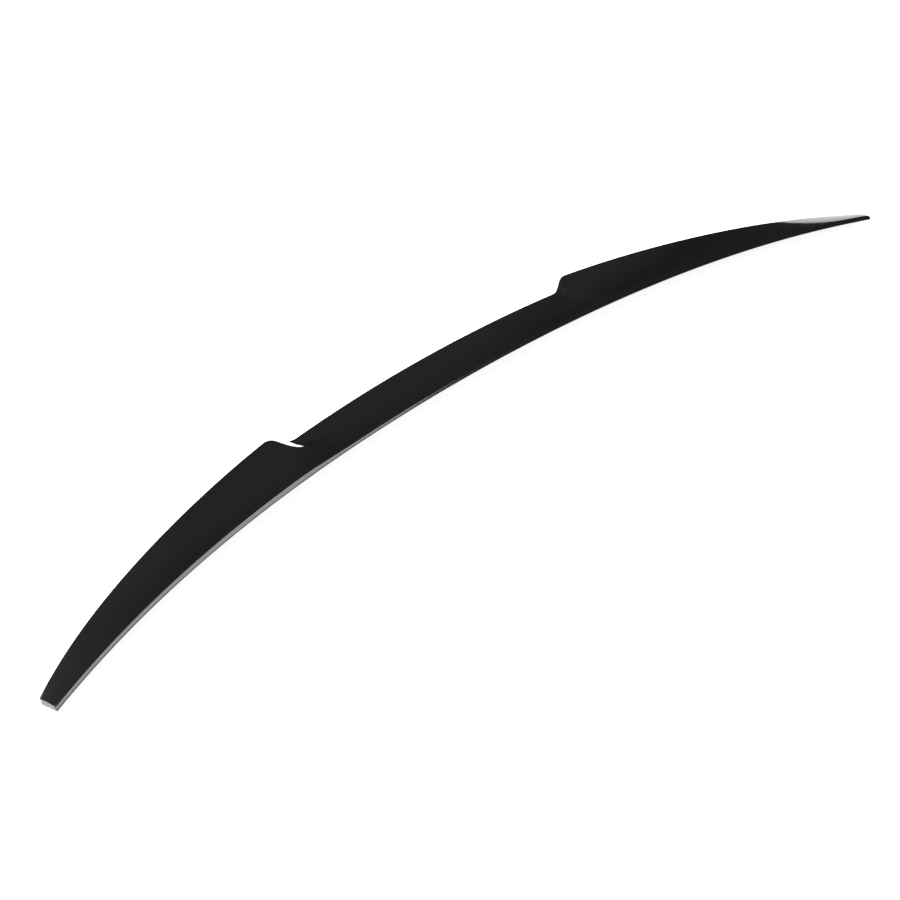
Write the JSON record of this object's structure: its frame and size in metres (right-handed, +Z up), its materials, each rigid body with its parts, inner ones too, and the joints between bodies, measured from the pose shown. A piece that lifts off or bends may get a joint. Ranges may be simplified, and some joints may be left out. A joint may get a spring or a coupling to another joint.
{
  "type": "boot lid lip spoiler",
  "caption": "Slim curved lip spoiler for a car's boot lid: a lower centre section steps up to a raised wing on each side, over a hollow ribbed seat.",
  "frame": {"origin": "under the middle of the part's box, on the flat surface that it rests on", "axes": "+X across the car from one cut end to the other, +Y to the rear (the side of the stepped trailing edge), +Z up as the part rests"},
  "size_m": [1.25, 0.1691, 0.0284],
  "materials": {
    "gloss_black_plastic": "high gloss"
  },
  "bodies": {
    "root": {"spoiler": "gloss_black_plastic"}
  },
  "joints": []
}
